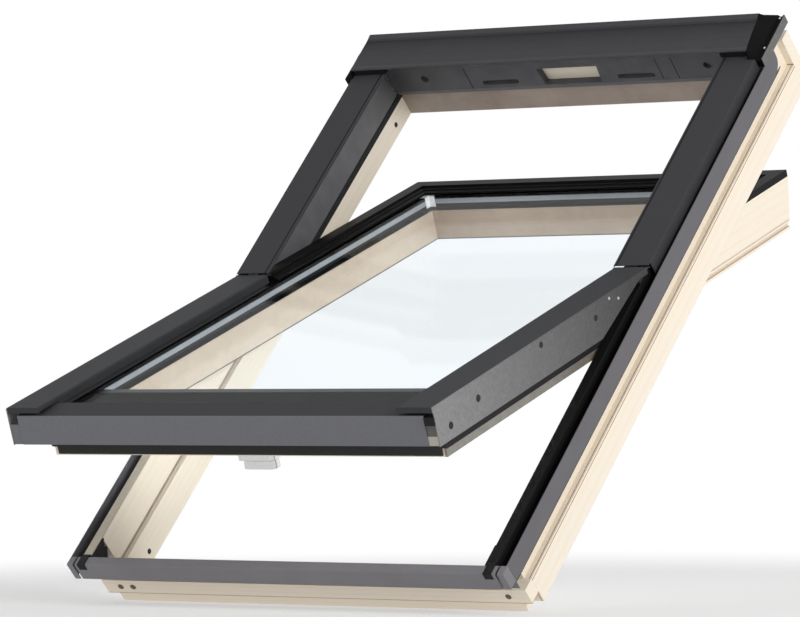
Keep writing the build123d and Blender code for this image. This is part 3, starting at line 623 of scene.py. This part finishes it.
capHeads = [[[(*corner, level) for corner in disc(screwLook["cap"]["across"], row, radius)]
             for level, radius in screwLook["cap"]["levels"]] for row in screwLook["cap"]["rows"]]
lofted("capScrews", capHeads, toRoof, zincPlate, "frame", soften=0)
flange, jamb = screwLook["flange"], screwLook["jamb"]
flangeHeads = sideHeads(flange["screws"], flange["levels"])
flangeScrews = lofted("flangeScrewHeads", flangeHeads, toSash, darkScrew, "sash", soften=0)
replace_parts(flangeScrews, "cover_screws")
rivetHeads = sideHeads(flange["rivets"], flange["levels"])
lofted("flangeRivets", rivetHeads, toSash, zincPlate, "sash", soften=0)
jambHeads = sideHeads(jamb["screws"], jamb["levels"])
lofted("jambScrews", jambHeads, toRoof, darkScrew, "frame", soften=0)


# glass

glassLook = {"tint": (0.950, 0.972, 0.990), "shadow": (0.95, 0.97, 0.97), "waveScale": 3.2, "ior": 1.04}


def clearGlass(name):
    material, tree, shader = newMaterial(name)
    vector = mapped(tree, sashTurn)
    colour = glassLook["tint"]
    waves = noise(tree, vector, glassLook["waveScale"], 1, -1000, 0)
    tint = ramp(tree, waves, ((0.3, colour), (0.7, tinted(colour, 1.015))), -700, 0)
    tree.links.new(tint, shader.inputs["Base Color"])
    tree.links.new(bump(tree, waves, 0.04, 0.002, -500, -300), shader.inputs["Normal"])
    shader.inputs["Roughness"].default_value = 0.0
    shader.inputs["IOR"].default_value = glassLook["ior"]
    shader.inputs["Transmission Weight"].default_value = 1
    # shadow rays pass straight through, so the panes don't darken the wood behind them
    through = addNode(tree, "ShaderNodeBsdfTransparent", 0, -500)
    through.inputs["Color"].default_value = (*glassLook["shadow"], 1)
    rays = addNode(tree, "ShaderNodeLightPath", 0, 400)
    pick = addNode(tree, "ShaderNodeMixShader", 300, 0)
    tree.links.new(rays.outputs["Is Shadow Ray"], pick.inputs[0])
    tree.links.new(shader.outputs[0], pick.inputs[1])
    tree.links.new(through.outputs[0], pick.inputs[2])
    tree.links.new(pick.outputs[0], tree.nodes["Material Output"].inputs["Surface"])
    return material


print("panes")
paneLook = {
    "half": 293.0, "head": 418.0,
    "panes": {"outer": (-496.0, -3.85, 0.0), "inner": (-469.0, -23.85, -20.15)},
}
paneGlass = clearGlass("floatGlass")
for name, (foot, low, high) in paneLook["panes"].items():
    across = paneLook["half"]
    corners = [(-across, low), (across, low), (across, high), (-across, high)]
    rows = [[(x, s, t) for x, t in corners] for s in (foot, paneLook["head"])]
    pane = lofted("glass" + name.capitalize(), [rows], toSash, paneGlass, "sash", soften=0.4)
    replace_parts(pane, name + "_pane")

print("corner pieces")
cornerLook = {
    "clipEnds": (308.6, 321.0), "padEnds": (303.8, 306.3),
    "clip": ((-499.3, -12.0), (-499.3, 0.8), (-517.8, 0.8), (-517.8, -9.0), (-517.2, -9.0),
             (-517.2, 0.1), (-501.6, 0.1), (-501.6, -12.0)),
    "pad": ((-501.4, -26.0), (-501.4, -1.2), (-468.0, -1.2), (-475.0, -9.0), (-471.0, -14.0),
            (-487.0, -33.0)),
}
clipBlack = moulding("clipBlack", (0.009, 0.009, 0.0095), 0.55, gloss=0.15)
for side, hand in ((1, "Right"), (-1, "Left")):
    clipBar = bar(cornerLook["clip"], cornerLook["clipEnds"], side)
    clip = lofted("cornerClip" + hand, [clipBar], toRoof, clipBlack, "frame",
                  soften=0.2)
    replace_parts(clip, "corner_piece_" + hand.lower())
    padBar = bar(cornerLook["pad"], cornerLook["padEnds"], side)
    lofted("cornerPad" + hand, [padBar], toRoof, clipBlack, "frame")

print("cover clip")
clipLook = {
    "section": ((-528.0, -10.0), (-525.8, -10.0), (-525.8, 0.5), (-528.0, 0.5)),
    "ends": (313.0, 327.6),
}
clipBar = bar(clipLook["section"], clipLook["ends"])
lofted("coverClip", [clipBar], toSash, clipBlack, "sash", soften=0.4)


# floor, light and camera

floorLook = {"colour": (0.88, 0.88, 0.875), "radius": 9.0, "fadeFrom": 0.6, "fadeTo": 1.5, "glow": 0.42}


def makeFloor(level):
    mesh = bpy.data.meshes.new("floor")
    shape = bmesh.new()
    bmesh.ops.create_circle(shape, cap_ends=True, segments=96, radius=floorLook["radius"])
    bmesh.ops.translate(shape, verts=shape.verts, vec=(0, 0, level))
    bmesh.ops.recalc_face_normals(shape, faces=shape.faces)
    shape.to_mesh(mesh)
    shape.free()
    floor = bpy.data.objects.new("floor", mesh)
    bpy.context.scene.collection.objects.link(floor)
    material, tree, shader = newMaterial("paleFloor")
    place = addNode(tree, "ShaderNodeTexCoord", -1200, 0)
    flat = addNode(tree, "ShaderNodeVectorMath", -1020, 0, operation="MULTIPLY")
    flat.inputs[1].default_value = (1, 1, 0)
    reach = addNode(tree, "ShaderNodeVectorMath", -840, 0, operation="LENGTH")
    fade = addNode(tree, "ShaderNodeMapRange", -660, 0, interpolation_type="SMOOTHSTEP")
    fade.inputs["From Min"].default_value = floorLook["fadeFrom"]
    fade.inputs["From Max"].default_value = floorLook["fadeTo"]
    fade.inputs["To Min"].default_value = floorLook["glow"]
    tree.links.new(place.outputs["Object"], flat.inputs[0])
    tree.links.new(flat.outputs["Vector"], reach.inputs[0])
    tree.links.new(reach.outputs["Value"], fade.inputs["Value"])
    grain = noise(tree, place.outputs["Object"], 240, 3, -1020, -260)
    colour = floorLook["colour"]
    tint = ramp(tree, grain, ((0.3, tinted(colour, 0.985)), (0.7, colour)), -660, -260)
    tree.links.new(tint, shader.inputs["Base Color"])
    shader.inputs["Roughness"].default_value = 0.9
    shader.inputs["Specular IOR Level"].default_value = 0.1
    white = addNode(tree, "ShaderNodeEmission", -200, -500)
    pick = addNode(tree, "ShaderNodeMixShader", 300, 0)
    tree.links.new(fade.outputs["Result"], pick.inputs[0])
    tree.links.new(shader.outputs[0], pick.inputs[1])
    tree.links.new(white.outputs[0], pick.inputs[2])
    tree.links.new(pick.outputs[0], tree.nodes["Material Output"].inputs["Surface"])
    mesh.materials.append(material)


def makeWorld(strength):
    world = bpy.data.worlds.new("studio")
    bpy.context.scene.world = world
    world.use_nodes = True
    tree = world.node_tree
    plain = tree.nodes["Background"]
    plain.inputs["Color"].default_value = (1, 1, 1, 1)
    plain.inputs["Strength"].default_value = strength
    seen = addNode(tree, "ShaderNodeBackground", -200, -200)
    seen.inputs["Color"].default_value = (1, 1, 1, 1)
    seen.inputs["Strength"].default_value = 1
    rays = addNode(tree, "ShaderNodeLightPath", -600, 200)
    camera = addNode(tree, "ShaderNodeMath", -400, 200, operation="MAXIMUM")
    either = addNode(tree, "ShaderNodeMath", -220, 200, operation="MAXIMUM")
    tree.links.new(rays.outputs["Is Camera Ray"], camera.inputs[0])
    tree.links.new(rays.outputs["Is Glossy Ray"], camera.inputs[1])
    tree.links.new(camera.outputs[0], either.inputs[0])
    tree.links.new(rays.outputs["Is Transmission Ray"], either.inputs[1])
    pick = addNode(tree, "ShaderNodeMixShader", 100, 0)
    tree.links.new(either.outputs[0], pick.inputs[0])
    tree.links.new(plain.outputs[0], pick.inputs[1])
    tree.links.new(seen.outputs[0], pick.inputs[2])
    tree.links.new(pick.outputs[0], tree.nodes["World Output"].inputs["Surface"])


def makeLamp(name, place, size, power):
    data = bpy.data.lights.new(name, "AREA")
    data.shape = "DISK"
    data.size = size
    data.energy = power
    lamp = bpy.data.objects.new(name, data)
    lamp.location = place
    lamp.rotation_euler = (Vector((0, 0, 0)) - Vector(place)).to_track_quat("-Z", "Y").to_euler()
    bpy.context.scene.collection.objects.link(lamp)


print("floor, light and camera")
studio = {
    "world": 0.50,
    "key": {"place": (4.7, -1.7, 1.5), "size": 1.8, "power": 130},
    "fill": {"place": (-1.6, -4.6, 0.7), "size": 2.2, "power": 30},
}
makeFloor(cadBox[0].z - 0.001)
makeWorld(studio["world"])
makeLamp("keyLamp", **studio["key"])
makeLamp("fillLamp", **studio["fill"])

cameraLook = {"place": (3.4947, -5.187, -0.0979), "turn": (90.5667, 0.4899, 34.4330), "lens": 212.98}
cameraData = bpy.data.cameras.new("camera")
cameraData.sensor_width = 36
cameraData.lens = cameraLook["lens"]
cameraData.clip_end = 60
camera = bpy.data.objects.new("camera", cameraData)
camera.location = cameraLook["place"]
camera.rotation_euler = [math.radians(angle) for angle in cameraLook["turn"]]
bpy.context.scene.collection.objects.link(camera)
bpy.context.scene.camera = camera
bpy.context.scene.view_settings.view_transform = "Standard"

print("finishing")
